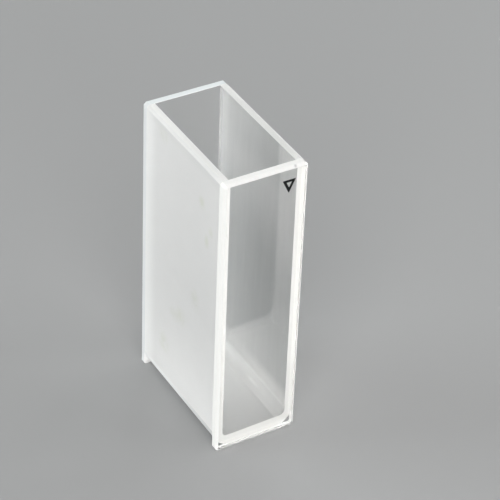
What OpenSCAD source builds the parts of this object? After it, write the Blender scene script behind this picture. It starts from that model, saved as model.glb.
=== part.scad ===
// Open rectangular sample cell (cuvette) in fused quartz, in millimetres, +Z up.
// X runs across the two ground sides and Y runs along the light path.
// The origin lies under the middle of the cell, on the plane that it stands on.
// A U-shaped body makes both side walls and the base, with round bottom corners. A
// polished window is fused over each of its open ends. The windows' own corners stand
// free beyond the body's round ones, and are bevelled there on the inside too.

/* [Cell] */
// Light path, from the inner face of one window to that of the other
path_length = 20; // [10:0.5:50]
// Outside width across the ground sides, to suit the holder
cell_width = 12.5; // [11:0.1:16]
// Height from the underside to the rim
cell_height = 45; // [25:0.5:60]

/* [Body] */
// Thickness of each side wall
side_wall = 1.25; // [0.8:0.05:2]
// Thickness of the base under the middle of the well
base_thickness = 2.05; // [1:0.05:3]
// Radius of the well's bottom corners
well_radius = 1.6; // [0.4:0.1:3]
// Radius of the body's outer bottom corners
body_radius = 2.8; // [1.4:0.1:3.4]

/* [Windows] */
// Thickness of each window
window_thickness = 1.25; // [0.8:0.05:2]
// Radius of each window's bottom corners
window_radius = 0.6; // [0.2:0.05:1]

/* [Ground edges] */
// Bevel round the outside of the rim
rim_bevel = 0.35; // [0.1:0.05:0.6]
// Bevel on the windows' outer edges, upright and along the underside
window_bevel = 0.35; // [0.1:0.05:0.6]
// Bevel on the inside of the windows' free bottom corners
corner_bevel = 0.35; // [0.1:0.05:0.6]

/* [Hidden] */
$fn = 64;
well_width = cell_width - 2 * side_wall;
half_width = cell_width / 2;
half_path = path_length / 2;
ground_white = [0.87, 0.88, 0.87];
clear_tint = [0.78, 0.86, 0.88, 0.5];

// What a round corner takes off a square one at the origin, on the side that x_side gives
module corner_waste(radius, x_side) {
    difference() {
        square(2 * radius, center = true);
        translate([-x_side * radius, radius]) circle(radius);
    }
}

// Upright rectangle with round bottom corners, seen along the light path
module upright(width, height, radius) {
    difference() {
        translate([-width / 2, 0]) square([width, height]);
        for (side = [-1, 1])
            translate([side * width / 2, 0]) corner_waste(radius, side);
    }
}

// The same, with its top corners bevelled for the rim
module rimmed_upright(width, height, radius) {
    difference() {
        upright(width, height, radius);
        for (side = [-1, 1])
            translate([side * width / 2, height])
                rotate(45) square(rim_bevel * sqrt(2), center = true);
    }
}

// Stands a flat outline up and draws it out along the light path, centred
module along_path(length) {
    rotate([90, 0, 0]) linear_extrude(length, center = true) children();
}

// Outline of the body's end faces without the well
module body_outline() {
    rimmed_upright(cell_width, cell_height, body_radius);
}

// A window's section from above: its inner face is at y = 0 and its outer face at +y
module window_plan() {
    outer = window_thickness;
    polygon([
        [corner_bevel - half_width, 0],
        [half_width - corner_bevel, 0],
        [half_width, corner_bevel],
        [half_width, outer - window_bevel],
        [half_width - window_bevel, outer],
        [window_bevel - half_width, outer],
        [-half_width, outer - window_bevel],
        [-half_width, corner_bevel],
    ]);
}

// A window's section from the side, thickness along x and height along y
module window_section() {
    outer = window_thickness;
    polygon([
        [0, corner_bevel],
        [corner_bevel, 0],
        [outer - window_bevel, 0],
        [outer, window_bevel],
        [outer, cell_height - rim_bevel],
        [outer - rim_bevel, cell_height],
        [0, cell_height],
    ]);
}

// A window with its inner face at y = 0. The bevelled plate is what its three outlines
// have in common, and the fused layer fills its inner bevels wherever the body meets it.
module window_plate() {
    intersection() {
        translate([0, window_thickness / 2, 0])
            along_path(window_thickness)
                rimmed_upright(cell_width, cell_height, window_radius);
        linear_extrude(cell_height) window_plan();
        rotate([90, 0, 90])
            linear_extrude(cell_width, center = true) window_section();
    }
    translate([0, corner_bevel / 2, 0])
        along_path(corner_bevel) body_outline();
}

// U-shaped channel: side walls and base in one, polished inside and ground outside
module body() {
    color(ground_white)
        along_path(path_length)
            difference() {
                body_outline();
                translate([0, base_thickness])
                    upright(well_width, cell_height, well_radius);
            }
}

module front_window() {
    color(clear_tint)
        translate([0, -half_path, 0]) mirror([0, 1, 0]) window_plate();
}

module rear_window() {
    color(clear_tint)
        translate([0, half_path, 0]) window_plate();
}

body();
front_window();
rear_window();
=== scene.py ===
import math

import bpy
from mathutils import Matrix, Vector, noise


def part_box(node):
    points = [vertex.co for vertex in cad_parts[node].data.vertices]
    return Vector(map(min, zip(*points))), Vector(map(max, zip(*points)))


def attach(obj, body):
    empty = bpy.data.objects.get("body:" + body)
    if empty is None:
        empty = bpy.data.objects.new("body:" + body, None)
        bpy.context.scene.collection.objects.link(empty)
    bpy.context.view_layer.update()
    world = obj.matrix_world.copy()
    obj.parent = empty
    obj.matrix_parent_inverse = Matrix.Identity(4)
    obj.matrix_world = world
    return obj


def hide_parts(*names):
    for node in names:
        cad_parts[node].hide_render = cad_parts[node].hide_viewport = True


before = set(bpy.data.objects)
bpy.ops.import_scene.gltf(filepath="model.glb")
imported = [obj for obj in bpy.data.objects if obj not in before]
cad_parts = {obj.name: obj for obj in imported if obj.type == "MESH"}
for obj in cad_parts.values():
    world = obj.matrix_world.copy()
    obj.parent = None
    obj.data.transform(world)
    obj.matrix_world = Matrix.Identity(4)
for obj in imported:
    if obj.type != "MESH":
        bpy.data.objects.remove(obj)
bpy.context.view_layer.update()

mm = 0.001
print("stage 1: frame loaded")

# Sizes that the frame gives, in mm, and the ones that its boxes can't show
bodyLow, bodyHigh = [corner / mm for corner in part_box("body")]
windowLow, windowHigh = [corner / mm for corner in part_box("front_window")]

cell = {
    "halfWidth": bodyHigh.x,
    "halfPath": bodyHigh.y,
    "rim": bodyHigh.z,
    "underside": bodyLow.z,
    "windowThickness": windowHigh.y - windowLow.y,
    "wall": 1.25,
    "base": 2.05,
    "wellRadius": 1.6,
    "bodyRadius": 2.8,
    "windowRadius": 0.4,
    "bevel": 0.35,  # all outer edges but the next
    "fineBevel": 0.2,  # the windows' right edges and feet
    "waver": 0.10,  # share by which a hand-ground bevel's width wanders
}


def linkPiece(name, points, faces, slots, materials, sharpDegrees):  # points in mm
    mesh = bpy.data.meshes.new(name)
    mesh.from_pydata([Vector(point) * mm for point in points], [], faces)
    for material in materials:
        mesh.materials.append(material)
    for polygon, slot in zip(mesh.polygons, slots):
        polygon.material_index = slot
        polygon.use_smooth = True
    mesh.validate()
    mesh.set_sharp_from_angle(angle=math.radians(sharpDegrees))
    piece = bpy.data.objects.new(name, mesh)
    bpy.context.scene.collection.objects.link(piece)
    return piece


def rideAs(piece, node):
    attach(piece, "root")
    if node:
        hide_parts(node)


def arc(centreX, centreZ, radius, startDegrees, endDegrees, steps):
    turn = math.radians(endDegrees - startDegrees)
    angles = [math.radians(startDegrees) + turn * step / steps for step in range(steps + 1)]
    return [(centreX + radius * math.cos(angle), centreZ + radius * math.sin(angle)) for angle in angles]


def wavering(width, place, seed):  # a bevel's width; place is counted in wavelengths along the edge
    return width * (1 + cell["waver"] * noise.noise(Vector((place, *seed))))


# Shader helpers

noiseMiddle = 0.5


def newGroup(name, inputs, outputs):
    group = bpy.data.node_groups.new(name, "ShaderNodeTree")
    for label, kind, value in inputs:
        socket = group.interface.new_socket(label, in_out="INPUT", socket_type=kind)
        socket.default_value = value
    for label, kind in outputs:
        group.interface.new_socket(label, in_out="OUTPUT", socket_type=kind)
    return group, group.nodes.new("NodeGroupInput"), group.nodes.new("NodeGroupOutput")


def addNode(tree, kind, **settings):
    node = tree.nodes.new(kind)
    for key, value in settings.items():
        setattr(node, key, value)
    return node


def feed(tree, socket, value):  # links a socket, or sets a plain value
    if hasattr(value, "links"):
        tree.links.new(value, socket)
    else:
        socket.default_value = value


def setInputs(node, **values):
    for key, value in values.items():
        node.inputs[key].default_value = value


def mathNode(tree, operation, *values, clamp=False):
    node = addNode(tree, "ShaderNodeMath", operation=operation, use_clamp=clamp)
    for socket, value in zip(node.inputs, values):
        feed(tree, socket, value)
    return node.outputs[0]


def vectorNode(tree, operation, *values):
    node = addNode(tree, "ShaderNodeVectorMath", operation=operation)
    for socket, value in zip(node.inputs, values):
        feed(tree, socket, value)
    return node.outputs[0]


def scaledColour(tree, colour, gain):
    node = addNode(tree, "ShaderNodeVectorMath", operation="SCALE")
    feed(tree, node.inputs[0], colour)
    feed(tree, node.inputs["Scale"], gain)
    return node.outputs[0]


def placeOn(tree):  # place on the piece, in m
    return addNode(tree, "ShaderNodeTexCoord").outputs["Object"]


def splitPlace(tree, place):
    split = addNode(tree, "ShaderNodeSeparateXYZ")
    tree.links.new(place, split.inputs[0])
    return split.outputs


def noiseNode(tree, coordinates, scale, detail, roughness):
    node = addNode(tree, "ShaderNodeTexNoise")
    setInputs(node, Scale=scale, Detail=detail, Roughness=roughness)
    tree.links.new(coordinates, node.inputs["Vector"])
    return node.outputs["Fac"]


def rampNode(tree, value, low=0.0, high=1.0, toLow=0.0, toHigh=1.0):  # smooth step between two values
    node = addNode(tree, "ShaderNodeMapRange", interpolation_type="SMOOTHSTEP")
    feed(tree, node.inputs["Value"], value)
    setInputs(node, **{"From Min": low, "From Max": high, "To Min": toLow, "To Max": toHigh})
    return node.outputs["Result"]


def blend(tree, share, first, second):  # from the first value to the second
    return mathNode(tree, "MULTIPLY_ADD", share, mathNode(tree, "SUBTRACT", second, first), first)


# The sanded surface left by grinding powder, with painted light and painted shade in some zones of the cell

grainLook = {
    "fine": (5200, 3, 0.6),  # scale per metre, detail and roughness of a noise
    "coarse": (900, 2, 0.5),
    "cloud": (210, 3, 0.55),
    "smear": (95, 2, 0.45),
    "smearEdge": (0.60, 0.74),
    "unevenRoughness": 0.12,
    "coarseHeight": 0.5,
    "bumpDistance": 0.02,  # mm
    "zones": {  # where light and shade are painted: axis, then from and to in m, and the values there
        "nearBase": ("Z", 0.0, 0.019, 1.0, 0.0),
        "nearRim": ("Z", 0.027, 0.045, 0.0, 0.1),
        "underRim": ("Z", 0.0430, 0.0446, 0.0, -1.0),
        "rightward": ("X", 0.0053, 0.0060, 0.0, 1.0),
        "frontward": ("Y", -0.008, 0.008, 1.0, 0.4),
        "nearEnd": ("Y", 0.0066, 0.0102, 0.0, 1.0),
        "rearward": ("Y", -0.010, 0.004, 0.0, 1.0),
    },
}
grainShares = {  # what a finish calls each share of the grain and of the painted light and shade, and its input on the group
    "sparkle": "Sparkle",
    "cloud": "Cloud",
    "smudge": "Smudge",
    "depthGlow": "Depth Glow",
    "endGlow": "End Glow",
    "rearGlow": "Rear Glow",
    "sideGlow": "Side Glow",
    "rimShade": "Rim Shade",
}


def makeGrainGroup():
    inputs = [("Tone", "NodeSocketColor", (0.8, 0.8, 0.8, 1)), ("Roughness", "NodeSocketFloat", 0.6)]
    inputs += [(label, "NodeSocketFloat", 0.0) for label in grainShares.values()]
    outputs = [("Color", "NodeSocketColor"), ("Roughness", "NodeSocketFloat"), ("Height", "NodeSocketFloat")]
    group, given, made = newGroup("groundGrain", inputs, outputs)
    place = placeOn(group)
    split = splitPlace(group, place)
    noises = {key: noiseNode(group, place, *grainLook[key]) for key in ("fine", "coarse", "cloud", "smear")}
    centred = {key: mathNode(group, "SUBTRACT", value, noiseMiddle) for key, value in noises.items()}
    zones = {}
    for key, (axis, *limits) in grainLook["zones"].items():
        zones[key] = rampNode(group, split[axis], *limits)
    low = mathNode(group, "MULTIPLY", zones["nearBase"], zones["frontward"])
    # Painted light by place: lighter low at the front, near the rim, near the rear end, towards the rear and
    # at the right edge; painted shade just under the rim, and wherever a share is below zero
    parts = {
        "Sparkle": centred["fine"],
        "Cloud": centred["cloud"],
        "Smudge": rampNode(group, noises["smear"], *grainLook["smearEdge"], 0.0, -1.0),
        "Depth Glow": mathNode(group, "ADD", low, zones["nearRim"]),
        "End Glow": zones["nearEnd"],
        "Rear Glow": zones["rearward"],
        "Side Glow": zones["rightward"],
        "Rim Shade": zones["underRim"],
    }
    gain = 1.0
    for label, part in parts.items():
        gain = mathNode(group, "MULTIPLY_ADD", part, given.outputs[label], gain)
    group.links.new(scaledColour(group, given.outputs["Tone"], gain), made.inputs["Color"])
    uneven = mathNode(group, "MULTIPLY", centred["coarse"], grainLook["unevenRoughness"])
    group.links.new(mathNode(group, "ADD", given.outputs["Roughness"], uneven), made.inputs["Roughness"])
    height = mathNode(group, "MULTIPLY_ADD", noises["coarse"], grainLook["coarseHeight"], noises["fine"])
    group.links.new(height, made.inputs["Height"])
    return group


grainGroup = makeGrainGroup()


def startMaterial(name, tone):
    material = bpy.data.materials.new(name)
    material.use_nodes = True
    material.diffuse_color = (*tone, 1)
    tree = material.node_tree
    tree.nodes.clear()
    shader = addNode(tree, "ShaderNodeBsdfPrincipled")
    output = addNode(tree, "ShaderNodeOutputMaterial")
    tree.links.new(shader.outputs[0], output.inputs["Surface"])
    return material, tree, shader


def tinted(tree, colour, change, strength):  # colour times one plus the change, channel by channel
    gain = vectorNode(tree, "MULTIPLY_ADD", change, strength, (1.0, 1.0, 1.0))
    return vectorNode(tree, "MULTIPLY", colour, gain)


# Painted shade on the ground walls seen from within the cell, with a dark patch as a painted reflection

innerLook = {  # places in m, each ramp from, to, and the values there
    "slope": 0.94,  # the lower edge of the dark patch, a painted reflection, climbs towards the front
    "low": 0.0111,
    "front": -0.0055,
    "corner": 0.0025,  # radius of the patch's round corner
    "soft": 0.34,
    "lowLoss": (-0.006, 0.006, 0.58, 0.11),  # share of the painted shade under the patch, from front to rear
    "frontLoss": (0.018, 0.032, 0.62, 0.34),  # before the patch, from low to high
    "rearLoss": (-0.0045, 0.0085, 1.0, 0.45),  # in the patch, from front to rear
    "rimLoss": (0.024, 0.036, 1.0, 0.48),
    "mouthLoss": (0.036, 0.041, 0.0, 0.24),
    "footLoss": (0.0036, 0.0062, -0.1, 1.0),
    "streak": (1100, 3, 0.6),  # upright streaks: scale, detail and roughness
    "streakStretch": (1.0, 1.0, 0.06),
    "streakDepth": 0.12,
    "tint": (1.03, 0.985, 0.985),
}


def short(tree, value, edge, radius):  # how far a value falls short of an edge, in radii
    gap = mathNode(tree, "SUBTRACT", edge + radius, value)
    return mathNode(tree, "MULTIPLY", mathNode(tree, "MAXIMUM", gap, 0.0), 1 / radius)


def dimWithin(tree, colour, loss):  # painted shade: a ground face is painted darker seen from within, most of all half-way down, with a dark patch as a painted reflection
    place = placeOn(tree)
    split = splitPlace(tree, place)
    along, height = split["Y"], split["Z"]
    slant = mathNode(tree, "MULTIPLY_ADD", along, innerLook["slope"], height)
    under = short(tree, slant, innerLook["low"], innerLook["corner"])
    before = short(tree, along, innerLook["front"], innerLook["corner"])
    squares = mathNode(tree, "MULTIPLY_ADD", under, under, mathNode(tree, "MULTIPLY", before, before))
    patch = rampNode(tree, mathNode(tree, "SQRT", squares), 1 - innerLook["soft"], 1.0, 1.0, 0.0)
    level = rampNode(tree, mathNode(tree, "SUBTRACT", 1.0, under))
    frontLoss = rampNode(tree, height, *innerLook["frontLoss"])
    outside = blend(tree, level, rampNode(tree, along, *innerLook["lowLoss"]), frontLoss)
    depth = blend(tree, patch, outside, rampNode(tree, along, *innerLook["rearLoss"]))
    upward = [rampNode(tree, height, *innerLook[key]) for key in ("rimLoss", "mouthLoss")]
    for share in (mathNode(tree, "ADD", *upward), rampNode(tree, height, *innerLook["footLoss"])):
        depth = mathNode(tree, "MULTIPLY", depth, share)
    stretched = vectorNode(tree, "MULTIPLY", place, innerLook["streakStretch"])
    streak = mathNode(tree, "SUBTRACT", noiseNode(tree, stretched, *innerLook["streak"]), noiseMiddle)
    dimmed = mathNode(tree, "MULTIPLY", depth, -loss)
    uneven = mathNode(tree, "MULTIPLY_ADD", streak, innerLook["streakDepth"], dimmed)
    within = addNode(tree, "ShaderNodeNewGeometry").outputs["Backfacing"]
    return tinted(tree, colour, mathNode(tree, "MULTIPLY", within, uneven), innerLook["tint"])


# Marks and painted highlights and shade: a place and reach across the cell, and spots with y and z, the
# reach along each, and a depth

wallMarks = {  # faint olive smudges on the left wall
    "x": (-cell["halfWidth"], 1.0),
    "tint": (0.85, 0.7, 1.35),
    "least": 0.25,  # how much is left of a mark where it is broken up most
    "spots": {
        "upper": ((-5.5, 38.9), (1.0, 1.2), 0.10),
        "slantTop": ((-8.0, 35.6), (0.7, 1.2), 0.07),
        "slantFoot": ((-7.0, 33.6), (0.7, 1.3), 0.09),
        "middle": ((-4.3, 21.9), (1.3, 2.0), 0.07),
        "low": ((-0.6, 16.4), (1.7, 1.7), 0.08),
        "lowRear": ((1.5, 15.4), (1.5, 1.3), 0.06),
        "foot": ((4.4, 8.4), (1.9, 2.0), 0.07),
        "underRim": ((5.1, 43.2), (1.3, 1.4), 0.08),
    },
}
filletMarks = {  # a painted highlight dash and line and a painted shade along the well's right corner
    "x": (4.6, 3.0),
    "tint": (1.0, 1.0, 1.0),
    "least": 0.8,
    "spots": {
        "dash": ((-2.1, 2.24), (2.0, 0.16), -0.18),
        "ridge": ((-7.0, 3.3), (14.0, 0.36), -0.18),
        "shade": ((-9.5, 2.2), (5.0, 0.8), 0.12),
    },
}
rimMarks = {  # a small chip in the front window's rim, ground smooth again
    "x": (4.36, 0.26),
    "tint": (1.0, 1.0, 1.0),
    "least": 0.9,
    "spots": {"chip": ((-11.05, 44.88), (0.3, 0.28), 0.42)},
}
markLook = {"fade": (0.1, 1.2), "breaks": (750, 3, 0.6), "breakEdge": (0.36, 0.58)}


def makeSpotGroup():  # one soft oval spot, added to the change that other spots make
    inputs = [("Centre", "NodeSocketVector", (0, 0, 0)), ("Reach", "NodeSocketVector", (1, 1, 1))]
    inputs += [("Depth", "NodeSocketFloat", 0.1), ("Change", "NodeSocketFloat", 0.0)]
    group, given, made = newGroup("wornSpot", inputs, [("Change", "NodeSocketFloat")])
    offset = vectorNode(group, "SUBTRACT", placeOn(group), given.outputs["Centre"])
    distance = addNode(group, "ShaderNodeVectorMath", operation="LENGTH")
    group.links.new(vectorNode(group, "DIVIDE", offset, given.outputs["Reach"]), distance.inputs[0])
    spot = rampNode(group, distance.outputs["Value"], *markLook["fade"], -1.0, 0.0)
    change = mathNode(group, "MULTIPLY_ADD", spot, given.outputs["Depth"], given.outputs["Change"])
    group.links.new(change, made.inputs["Change"])
    return group


def makeBreakGroup():  # share of a mark that is left where it is broken up
    inputs = [("Least", "NodeSocketFloat", 0.5)]
    group, given, made = newGroup("brokenUp", inputs, [("Share", "NodeSocketFloat")])
    breaks = rampNode(group, noiseNode(group, placeOn(group), *markLook["breaks"]), *markLook["breakEdge"])
    group.links.new(blend(group, breaks, given.outputs["Least"], 1.0), made.inputs["Share"])
    return group


spotGroup = makeSpotGroup()
breakGroup = makeBreakGroup()


def marked(tree, colour, marks):  # spots left by handling or polishing, and painted highlights and shade
    change, (x, alongX) = 0.0, marks["x"]
    for (y, z), (alongY, alongZ), depth in marks["spots"].values():
        spot = addNode(tree, "ShaderNodeGroup", node_tree=spotGroup)
        setInputs(spot, Centre=Vector((x, y, z)) * mm, Reach=Vector((alongX, alongY, alongZ)) * mm)
        setInputs(spot, Depth=depth)
        feed(tree, spot.inputs["Change"], change)
        change = spot.outputs["Change"]
    broken = addNode(tree, "ShaderNodeGroup", node_tree=breakGroup)
    setInputs(broken, Least=marks["least"])
    return tinted(tree, colour, mathNode(tree, "MULTIPLY", change, broken.outputs["Share"]), marks["tint"])


# Finishes of the ground, sawn and fused faces

quartzIor = 1.458


def groundQuartz(name, look):
    material, tree, shader = startMaterial(name, look["tone"])
    setInputs(shader, **{"IOR": quartzIor, "Transmission Weight": look["transmission"]})
    grain = addNode(tree, "ShaderNodeGroup", node_tree=grainGroup)
    setInputs(grain, Tone=(*look["tone"], 1), Roughness=look["roughness"])
    setInputs(grain, **{label: look[key] for key, label in grainShares.items()})
    bump = addNode(tree, "ShaderNodeBump")
    setInputs(bump, Strength=look["bump"], Distance=grainLook["bumpDistance"] * mm)
    colour = grain.outputs["Color"]
    if look["innerLoss"] > 0:
        colour = dimWithin(tree, colour, look["innerLoss"])
    if look["marks"]:
        colour = marked(tree, colour, look["marks"])
    tree.links.new(colour, shader.inputs["Base Color"])
    tree.links.new(grain.outputs["Roughness"], shader.inputs["Roughness"])
    tree.links.new(grain.outputs["Height"], bump.inputs["Height"])
    tree.links.new(bump.outputs[0], shader.inputs["Normal"])
    return material


def finish(tone, transmission, **extra):
    look = {key: 0.0 for key in grainShares}
    look.update({"tone": tone, "transmission": transmission, "sparkle": 0.02, "cloud": 0.01})
    look.update({"roughness": 0.7, "bump": 0.2, "innerLoss": 0.0, "marks": None})
    look.update(extra)
    return look


sawn = {"sparkle": 0.1, "cloud": 0.03, "bump": 0.4}
finelySawn = {"sparkle": 0.08, "cloud": 0.03, "bump": 0.4}
wallGrain = {"sparkle": 0.06, "cloud": 0.05, "smudge": 0.03, "bump": 0.3, "marks": wallMarks}
# The walls' painted shade from within, painted light low at the front, near the rim and near the rear end,
# and painted shade just under the rim
wallGlow = {"innerLoss": 0.44, "depthGlow": 0.15, "endGlow": 0.22, "rimShade": 0.05}
# The fillet's smoother finish carries its painted highlights and shade
smoothed = {"roughness": 0.55, "bump": 0.05, "sparkle": 0.0, "cloud": 0.0, "marks": filletMarks}
finishes = {
    "wall": finish((0.846, 0.839, 0.832), 0.3, **wallGrain, **wallGlow),
    # The base is painted lighter towards the rear, painted light
    "base": finish((0.735, 0.735, 0.73), 0.0, rearGlow=0.31, sparkle=0.06, cloud=0.04, bump=0.3),
    "rim": finish((0.97, 0.97, 0.96), 0.4, **sawn),
    # The right rim is a darker copy of the rim, painted shade
    "rimRight": finish((0.88, 0.88, 0.87), 0.4, **sawn),
    "rimBevel": finish((0.90, 0.90, 0.89), 0.3, **sawn),
    # The fused joint is painted darker low at the front, painted shade, and lighter at its right edge,
    # painted light
    "seam": finish((0.81, 0.81, 0.79), 0.0, depthGlow=-0.13, sideGlow=0.05),
    "rearSeam": finish((0.96, 0.97, 0.97), 0.5),
    "fillet": finish((0.85, 0.85, 0.84), 0.5, **smoothed),
    "edge": finish((0.99, 0.985, 0.96), 0.0),
    "edgeFar": finish((0.99, 0.99, 0.98), 0.9, roughness=0.35),
    # The rear window's left edge and rim are darker, bluer copies of the front window's, painted shade with
    # a painted bluish light
    "edgeRear": finish((0.89, 0.91, 0.92), 0.2),
    "edgeRim": finish((0.865, 0.865, 0.85), 0.0, **finelySawn, marks=rimMarks),
    "rearRim": finish((0.77, 0.81, 0.82), 0.0, **finelySawn),
    "edgeBevel": finish((0.95, 0.95, 0.935), 0.2),
    "edgeBevelRim": finish((0.765, 0.765, 0.755), 0.1, **finelySawn, marks=rimMarks),
    "edgeBevelFar": finish((0.98, 0.98, 0.975), 0.4),
    "edgeBevelInner": finish((0.99, 0.99, 0.985), 0.0),
}
finished = {name: groundQuartz(name + "Ground", look) for name, look in finishes.items()}

polish = {"tone": (1.0, 1.0, 1.0), "haze": 0.012, "wipes": (260, 3, 0.6), "wipeEdge": (0.5, 0.7)}


def polishedQuartz(name, look):  # clear, with a trace of haze in patches left by wiping
    material, tree, shader = startMaterial(name, look["tone"])
    wipes = noiseNode(tree, placeOn(tree), *look["wipes"])
    haze = rampNode(tree, wipes, *look["wipeEdge"], 0.0, look["haze"])
    setInputs(shader, **{"Base Color": (*look["tone"], 1), "IOR": quartzIor, "Transmission Weight": 1.0})
    tree.links.new(haze, shader.inputs["Roughness"])
    return material


finished["polish"] = polishedQuartz("quartzPolished", polish)
print("stage 2: quartz finishes made")


# The body: one U-shaped channel, swept along the light path

channel = {
    "rows": 80,
    "arcSteps": 16,
    "seamGap": 0.02,
    "lip": 0.04,  # bevel inside the well's mouth
    "seamRadius": 0.8,  # where the fused joint ends at the well's corners
    "lean": 0.1,  # how far the well drifts to +X from the rim to its floor
    "sag": (0.36, 0.12),  # how far the well's floor lies low at its left and its right corner
    "wavelength": 2.5,  # of the rim bevels' wandering widths
    "seeds": ((7.3, 2.1), (14.6, 2.1)),  # where in the noise the left and the right one are read
    "sharpDegrees": 24,
    "finishes": ["wall", "base", "rim", "rimRight", "rimBevel", "polish", "fillet", "seam", "rearSeam"],
}


def leaning(point):  # the well isn't quite square to the outside
    x, z = point
    inner, (leftSag, rightSag) = cell["halfWidth"] - cell["wall"], channel["sag"]
    fall = (cell["rim"] - z) / (cell["rim"] - cell["underside"] - cell["base"])
    sag = leftSag + (rightSag - leftSag) * (x + inner) / (2 * inner)
    return (x + channel["lean"] * fall, z - sag)


def wellCorners(radius):  # the well's two bottom corners, from its right wall to its left
    inner, floorTop = cell["halfWidth"] - cell["wall"], cell["underside"] + cell["base"]
    steps = channel["arcSteps"]
    right = arc(inner - radius, floorTop + radius, radius, 360, 270, steps)
    left = arc(radius - inner, floorTop + radius, radius, 270, 180, steps)
    return [leaning(point) for point in right], [leaning(point) for point in left]


def channelSection(y):  # closed loop of points, each with the finish of the stretch that it starts
    half, rim, low, radius = cell["halfWidth"], cell["rim"], cell["underside"], cell["bodyRadius"]
    inner, lip, steps = half - cell["wall"], channel["lip"], channel["arcSteps"]
    place = y / channel["wavelength"]
    leftBevel, rightBevel = [wavering(cell["bevel"], place, seed) for seed in channel["seeds"]]
    wellRight, wellLeft = wellCorners(cell["wellRadius"])
    loop = [((-half, rim - leftBevel), "wall")]
    loop += [(point, "base") for point in arc(radius - half, low + radius, radius, 180, 270, steps)]
    loop += [(point, "base") for point in arc(half - radius, low + radius, radius, 270, 360, steps)[:-1]]
    loop += [((half, low + radius), "wall"), ((half, rim - rightBevel), "rimBevel")]
    loop += [((half - rightBevel, rim), "rimRight"), ((inner + lip, rim), "rimRight")]
    loop += [((inner, rim - lip), "polish")]
    loop += [(point, "fillet") for point in wellRight[:-1]] + [(wellRight[-1], "polish")]
    loop += [(point, "polish") for point in wellLeft]
    loop += [((-inner, rim - lip), "rim"), ((-inner - lip, rim), "rim")]
    loop += [((leftBevel - half, rim), "rimBevel")]
    return loop


def endFaces(points, section, first, y):  # white fused joint, with the clear corners beside it
    steps = channel["arcSteps"]
    rightStart = [kind for point, kind in section].index("fillet")  # the well's first corner point
    wellRight = [first + rightStart + i for i in range(steps + 1)]
    wellLeft = [index + steps + 1 for index in wellRight]
    seams = []
    for corner in wellCorners(channel["seamRadius"]):
        seams.append([len(points) + i for i in range(steps + 1)])
        points += [(x, y, z) for x, z in corner]
    before = list(range(first, wellRight[0] + 1)) + seams[0]
    after = seams[1] + list(range(wellLeft[-1], first + len(section)))
    joint = before + [wellRight[-1], wellLeft[0]] + after
    return [tuple(joint)] + [tuple(well + seam[::-1]) for well, seam in zip((wellRight, wellLeft), seams)]


def makeBody():
    ends = cell["halfPath"] - channel["seamGap"]
    points, faces, kinds = [], [], []
    for row in range(channel["rows"] + 1):
        y = -ends + 2 * ends * row / channel["rows"]
        section = channelSection(y)
        points += [(x, y, z) for (x, z), kind in section]
    count = len(section)
    for row in range(channel["rows"]):
        for i in range(count):
            j = (i + 1) % count
            a, b = row * count, (row + 1) * count
            faces.append((a + i, b + i, b + j, a + j))
            kinds.append(section[i][1])
    faces += endFaces(points, section, 0, -ends)
    faces += [face[::-1] for face in endFaces(points, section, channel["rows"] * count, ends)]
    kinds += ["seam", "polish", "polish", "rearSeam", "polish", "polish"]
    slots = [channel["finishes"].index(kind) for kind in kinds]
    materials = [finished[kind] for kind in channel["finishes"]]
    piece = linkPiece("cellBody", points, faces, slots, materials, channel["sharpDegrees"])
    rideAs(piece, "body")


# The windows, each between four rings of points from its outer face to its inner one

plate = {
    "cornerSteps": 8,
    "edgeSteps": 26,
    "footSteps": 7,
    "arris": 0.03,
    "innerBevel": (0.42, 0.42),  # reach and depth inside the free bottom corner at the right
    "leftInnerBevel": {-1: (0.34, 0.14), 1: (1.2, 0.26)},  # the same at the left, on each window
    "bevelRise": 0.8,  # height over which the left bevel grows to its full width
    "rimReach": 0.09,  # how far the rim's finish reaches down
    "footReach": 0.13,  # how far the foot's reaches up
    "mitreLeast": 0.3,
    "wavelength": 2.2,
    "waverSlant": 1.7,  # keeps the wandering widths of upright and level edges apart
    "seeds": {-1: (14.6, 2.1), 1: (29.2, 2.1)},
    "sharpDegrees": 11.6,  # just over one step of the round corners
    "finishes": [
        "edge",
        "edgeFar",
        "edgeRear",
        "edgeRim",
        "rearRim",
        "edgeBevel",
        "edgeBevelFar",
        "edgeBevelRim",
        "edgeBevelInner",
        "polish",
    ],
}


def between(start, end, steps):  # points from start up to, and without, end
    return [tuple(Vector(start).lerp(Vector(end), step / steps)) for step in range(steps)]


def windowOutline():  # counter-clockwise seen from the front
    half, rim, low = cell["halfWidth"], cell["rim"], cell["underside"]
    bevel, radius, free = cell["bevel"], cell["windowRadius"], cell["bodyRadius"]
    corner, side, foot = plate["cornerSteps"], plate["edgeSteps"], plate["footSteps"]
    outline = between((-half, rim - bevel), (-half, low + free), side)
    outline += between((-half, low + free), (-half, low + radius), foot)
    outline += arc(radius - half, low + radius, radius, 180, 270, corner)[:-1]
    outline += between((radius - half, low), (free - half, low), foot)
    outline += between((free - half, low), (half - free, low), foot)
    outline += between((half - free, low), (half - radius, low), foot)
    outline += arc(half - radius, low + radius, radius, 270, 360, corner)[:-1]
    outline += between((half, low + radius), (half, low + free), foot)
    outline += between((half, low + free), (half, rim - bevel), side)
    outline += between((half, rim - bevel), (half - bevel, rim), 1)
    outline += between((half - bevel, rim), (bevel - half, rim), side // 2)
    outline += [(bevel - half, rim)]
    return outline


def inwardWays(outline):  # mitred way inwards at each point of a convex outline
    ways, count = [], len(outline)
    for i in range(count):
        before, here, after = (Vector(outline[(i + k) % count]) for k in (-1, 0, 1))
        first, second = (here - before).normalized(), (after - here).normalized()
        normal = Vector((-first.y, first.x))
        inward = (normal + Vector((-second.y, second.x))).normalized()
        ways.append(inward / max(plate["mitreLeast"], inward.dot(normal)))
    return ways


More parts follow.
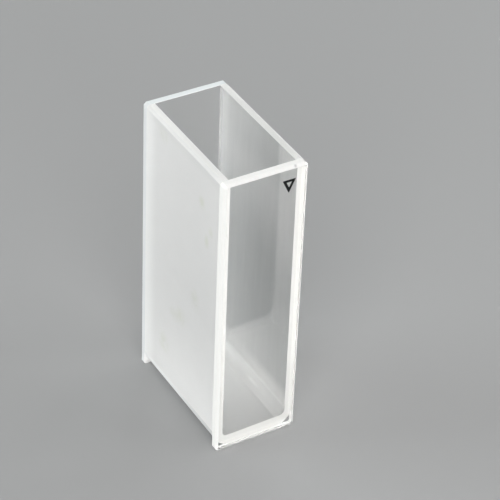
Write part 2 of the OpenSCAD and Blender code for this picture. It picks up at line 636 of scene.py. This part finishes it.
def innerBevel(x, z, way, side):  # its shift and depth, at most up to the body's round corner
    radius, half = cell["bodyRadius"], cell["halfWidth"]
    reach, depth = plate["leftInnerBevel"][side] if x < 0 else plate["innerBevel"]
    centre = Vector((math.copysign(half - radius, x), cell["underside"] + radius))
    inwards = centre - Vector((x, z))
    if inwards.x * x >= 0 or inwards.y <= 0:
        return way * plate["arris"], plate["arris"]
    reach = min(reach, max(plate["arris"], inwards.length - radius))
    return inwards.normalized() * reach, min(depth, reach)


def outerBevel(x, z):  # full on the rim and down the left side, finer at the right and the foot
    rise = (z - cell["underside"]) / plate["bevelRise"]
    share = min(1, rise) if x < 0 else float(z > cell["rim"] - cell["bevel"] / 2)
    return cell["fineBevel"] + (cell["bevel"] - cell["fineBevel"]) * share


def edgeKind(start, end, ring, side):  # finish of one stretch of a window's edge
    x, z = (start[0] + end[0]) / 2, (start[1] + end[1]) / 2
    onRim, onFoot = z > cell["rim"] - plate["rimReach"], z < cell["underside"] + plate["footReach"]
    if ring == 0:  # outer bevel
        if onRim:
            return "edgeBevelRim"
        return "edgeBevel" if x < 0 and not onFoot else "edgeBevelFar"
    if ring == 2:  # inner bevel
        return "edgeBevelInner"
    if onRim:
        return "edgeRim" if side < 0 else "rearRim"
    if onFoot or x > 0:
        return "edgeFar"
    return "edge" if side < 0 else "edgeRear"


def makeWindow(name, node, side):
    outline = windowOutline()
    ways, count = inwardWays(outline), len(outline)
    outer, inner = side * (cell["halfPath"] + cell["windowThickness"]), side * cell["halfPath"]
    rings = [[], [], [], []]
    for (x, z), way in zip(outline, ways):
        place = (x + plate["waverSlant"] * z) / plate["wavelength"]
        bevel = wavering(outerBevel(x, z), place, plate["seeds"][side])
        shift, depth = innerBevel(x, z, way, side)
        rings[0].append((x + way.x * bevel, outer, z + way.y * bevel))
        rings[1].append((x, outer - side * bevel, z))
        rings[2].append((x, inner + side * depth, z))
        rings[3].append((x + shift.x, inner, z + shift.y))
    points = [point for ring in rings for point in ring]
    faces, kinds = [], []
    for ring in range(len(rings) - 1):
        for i in range(count):
            j = (i + 1) % count
            near, far = ring * count, (ring + 1) * count
            face = (near + i, far + i, far + j, near + j)
            faces.append(face if side < 0 else face[::-1])
            kinds.append(edgeKind(outline[i], outline[j], ring, side))
    last = (len(rings) - 1) * count
    outside, inside = tuple(range(count)), tuple(range(last, last + count))
    faces += [outside, inside[::-1]] if side < 0 else [outside[::-1], inside]
    kinds += ["polish", "polish"]
    slots = [plate["finishes"].index(kind) for kind in kinds]
    materials = [finished[kind] for kind in plate["finishes"]]
    rideAs(linkPiece(name, points, faces, slots, materials, plate["sharpDegrees"]), node)


# A small black arrow, fired on near the top of the front window, shows which way round the cell goes

arrow = {
    "place": (3.41, 42.06),
    "width": 2.0,
    "height": 2.1,
    "stroke": 0.38,
    "proud": 0.008,
    "round": 0.12,
    "innerRound": 0.04,
    "cornerSteps": 4,
    "sharpDegrees": 24,
}
ink = {
    "tone": (0.004, 0.004, 0.005),
    "thin": (4200, 2, 0.6),
    "thinEdge": (0.55, 0.8, 1.0, 2.0),
    "roughness": 0.6,
    "specular": 0.15,
}


def firedInk(name, look):  # matt black print, a little thinner in places
    material, tree, shader = startMaterial(name, look["tone"])
    thin = rampNode(tree, noiseNode(tree, placeOn(tree), *look["thin"]), *look["thinEdge"])
    tree.links.new(scaledColour(tree, look["tone"], thin), shader.inputs["Base Color"])
    setInputs(shader, **{"Roughness": look["roughness"], "Specular IOR Level": look["specular"]})
    return material


def roundCorners(corners, radius):  # closed outline with each corner turned into a short arc
    outline, count, steps = [], len(corners), arrow["cornerSteps"]
    for i in range(count):
        before, here, after = (Vector(corners[(i + k) % count]) for k in (-1, 0, 1))
        start = here + (before - here).normalized() * radius
        end = here + (after - here).normalized() * radius
        for step in range(steps + 1):
            t = step / steps
            outline.append(start * (1 - t) ** 2 + here * (2 * t * (1 - t)) + end * t ** 2)
    return outline


def makeArrow():
    halfWidth, halfHeight, stroke = arrow["width"] / 2, arrow["height"] / 2, arrow["stroke"]
    corners = [(-halfWidth, halfHeight), (0, -halfHeight), (halfWidth, halfHeight)]
    side = math.hypot(arrow["height"], halfWidth)
    inset = stroke * (side + halfWidth) / arrow["height"]
    tip, top = stroke * side / halfWidth - halfHeight, halfHeight - stroke
    inner = [(inset - halfWidth, top), (0, tip), (halfWidth - inset, top)]
    outline, hole = roundCorners(corners, arrow["round"]), roundCorners(inner, arrow["innerRound"])
    centreX, centreZ = arrow["place"]
    glass = -cell["halfPath"] - cell["windowThickness"]
    face = glass - arrow["proud"]
    rings = [(outline, glass), (outline, face), (hole, face), (hole, glass)]
    points = [(centreX + x, y, centreZ + z) for ring, y in rings for x, z in ring]
    count, faces = len(outline), []
    for ring in range(len(rings)):
        near, far = ring * count, (ring + 1) % len(rings) * count
        for i in range(count):
            j = (i + 1) % count
            faces.append((near + i, near + j, far + j, far + i))
    materials = [firedInk("blackInk", ink)]
    piece = linkPiece("printedArrow", points, faces, [0] * len(faces), materials, arrow["sharpDegrees"])
    rideAs(piece, None)


makeBody()
makeWindow("frontWindow", "front_window", -1)
makeWindow("rearWindow", "rear_window", 1)
makeArrow()
print("stage 3: body, windows and printed arrow made")


# Floor, lights and camera, in metres

studio = {
    "floorSize": 3.0,
    "floorDrop": 0.00002,
    "floorTone": (0.36, 0.363, 0.365),
    "floorRoughness": 0.8,
    "floorSpecular": 0.2,
    "backgroundTone": (0.36, 0.363, 0.365),
    "worldLight": 0.25,
    "aim": (0, 0, 0.02),
    "lamps": {
        "key": {"place": (-0.42, -0.72, 0.60), "size": 0.8, "power": 7.9, "colour": (1, 0.99, 0.975)},
        "low": {"place": (0.0, -1.10, 0.15), "size": 0.8, "power": 5.2, "colour": (1, 0.99, 0.975)},
        "rearLeft": {"place": (-0.80, 0.55, 0.30), "size": 0.6, "power": 4.7, "colour": (0.93, 0.99, 1)},
        "rightFront": {"place": (0.80, -0.60, 0.40), "size": 0.6, "power": 3.6, "colour": (1, 1, 1)},
        "right": {"place": (1.00, 0.10, 0.35), "size": 0.6, "power": 4.0, "colour": (1, 1, 1)},
        "rearRight": {"place": (0.70, 0.70, 0.25), "size": 0.5, "power": 3.1, "colour": (0.95, 1, 1)},
    },
}


def makeFloor():
    half = studio["floorSize"] / 2
    corners = [(x * half, y * half, -studio["floorDrop"]) for x, y in ((-1, -1), (1, -1), (1, 1), (-1, 1))]
    mesh = bpy.data.meshes.new("floor")
    mesh.from_pydata(corners, [], [(0, 1, 2, 3)])
    material, tree, shader = startMaterial("floorMatt", studio["floorTone"])
    setInputs(shader, **{"Base Color": (*studio["floorTone"], 1), "Roughness": studio["floorRoughness"]})
    setInputs(shader, **{"Specular IOR Level": studio["floorSpecular"]})
    mesh.materials.append(material)
    floor = bpy.data.objects.new("floor", mesh)
    bpy.context.scene.collection.objects.link(floor)


def makeLamps():
    for name, lamp in studio["lamps"].items():
        data = bpy.data.lights.new(name, "AREA")
        data.shape = "SQUARE"
        data.size = lamp["size"]
        data.energy = lamp["power"]
        data.color = lamp["colour"]
        light = bpy.data.objects.new(name, data)
        light.location = lamp["place"]
        towards = Vector(studio["aim"]) - Vector(lamp["place"])
        light.rotation_euler = towards.to_track_quat("-Z", "Y").to_euler()
        bpy.context.scene.collection.objects.link(light)


def makeWorld():
    world = bpy.data.worlds.new("studio")
    bpy.context.scene.world = world
    world.use_nodes = True
    tree = world.node_tree
    tree.nodes.clear()
    light = addNode(tree, "ShaderNodeBackground")
    setInputs(light, Color=(1, 1, 1, 1), Strength=studio["worldLight"])
    seen = addNode(tree, "ShaderNodeBackground")
    setInputs(seen, Color=(*studio["backgroundTone"], 1), Strength=1.0)
    mix = addNode(tree, "ShaderNodeMixShader")
    path = addNode(tree, "ShaderNodeLightPath").outputs
    direct = mathNode(tree, "ADD", path["Is Camera Ray"], path["Is Glossy Ray"], clamp=True)
    tree.links.new(mathNode(tree, "ADD", direct, path["Is Transmission Ray"], clamp=True), mix.inputs[0])
    tree.links.new(light.outputs[0], mix.inputs[1])
    tree.links.new(seen.outputs[0], mix.inputs[2])
    tree.links.new(mix.outputs[0], addNode(tree, "ShaderNodeOutputWorld").inputs[0])


view = {
    "place": (-0.123284, -0.210200, 0.207726),
    "azimuth": -31.347,
    "elevation": 36.772,
    "roll": 2.46,
    "lens": 159.985,
    "sensor": 36,
    "clip": (0.01, 20),
}


def makeCamera():
    azimuth, elevation, roll = (math.radians(view[key]) for key in ("azimuth", "elevation", "roll"))
    level = Vector((math.sin(azimuth), -math.cos(azimuth), 0))
    back = level * math.cos(elevation) + Vector((0, 0, math.sin(elevation)))
    right = (-back).cross(Vector((0, 0, 1))).normalized()
    up = right.cross(-back)
    across = math.cos(roll) * right + math.sin(roll) * up
    upright = -math.sin(roll) * right + math.cos(roll) * up
    data = bpy.data.cameras.new("camera")
    data.lens, data.sensor_width = view["lens"], view["sensor"]
    data.clip_start, data.clip_end = view["clip"]
    camera = bpy.data.objects.new("camera", data)
    turned = Matrix((across, upright, back)).transposed().to_4x4()
    camera.matrix_world = Matrix.Translation(view["place"]) @ turned
    bpy.context.scene.collection.objects.link(camera)
    bpy.context.scene.camera = camera


makeFloor()
makeLamps()
makeWorld()
makeCamera()
bpy.context.scene.view_settings.view_transform = "Standard"

lightPaths = {"clear": 32, "scattered": 16}  # light runs far inside the windows to their ground edges
cycles = bpy.context.scene.cycles
cycles.blur_glossy = 0  # polished quartz stays clear to light that has scattered
cycles.sample_clamp_indirect = 0
cycles.max_bounces = lightPaths["clear"]
cycles.transmission_bounces = lightPaths["clear"]
cycles.diffuse_bounces = lightPaths["scattered"]
cycles.glossy_bounces = lightPaths["scattered"]
print("stage 4: floor, lights and camera made")

bpy.context.view_layer.update()
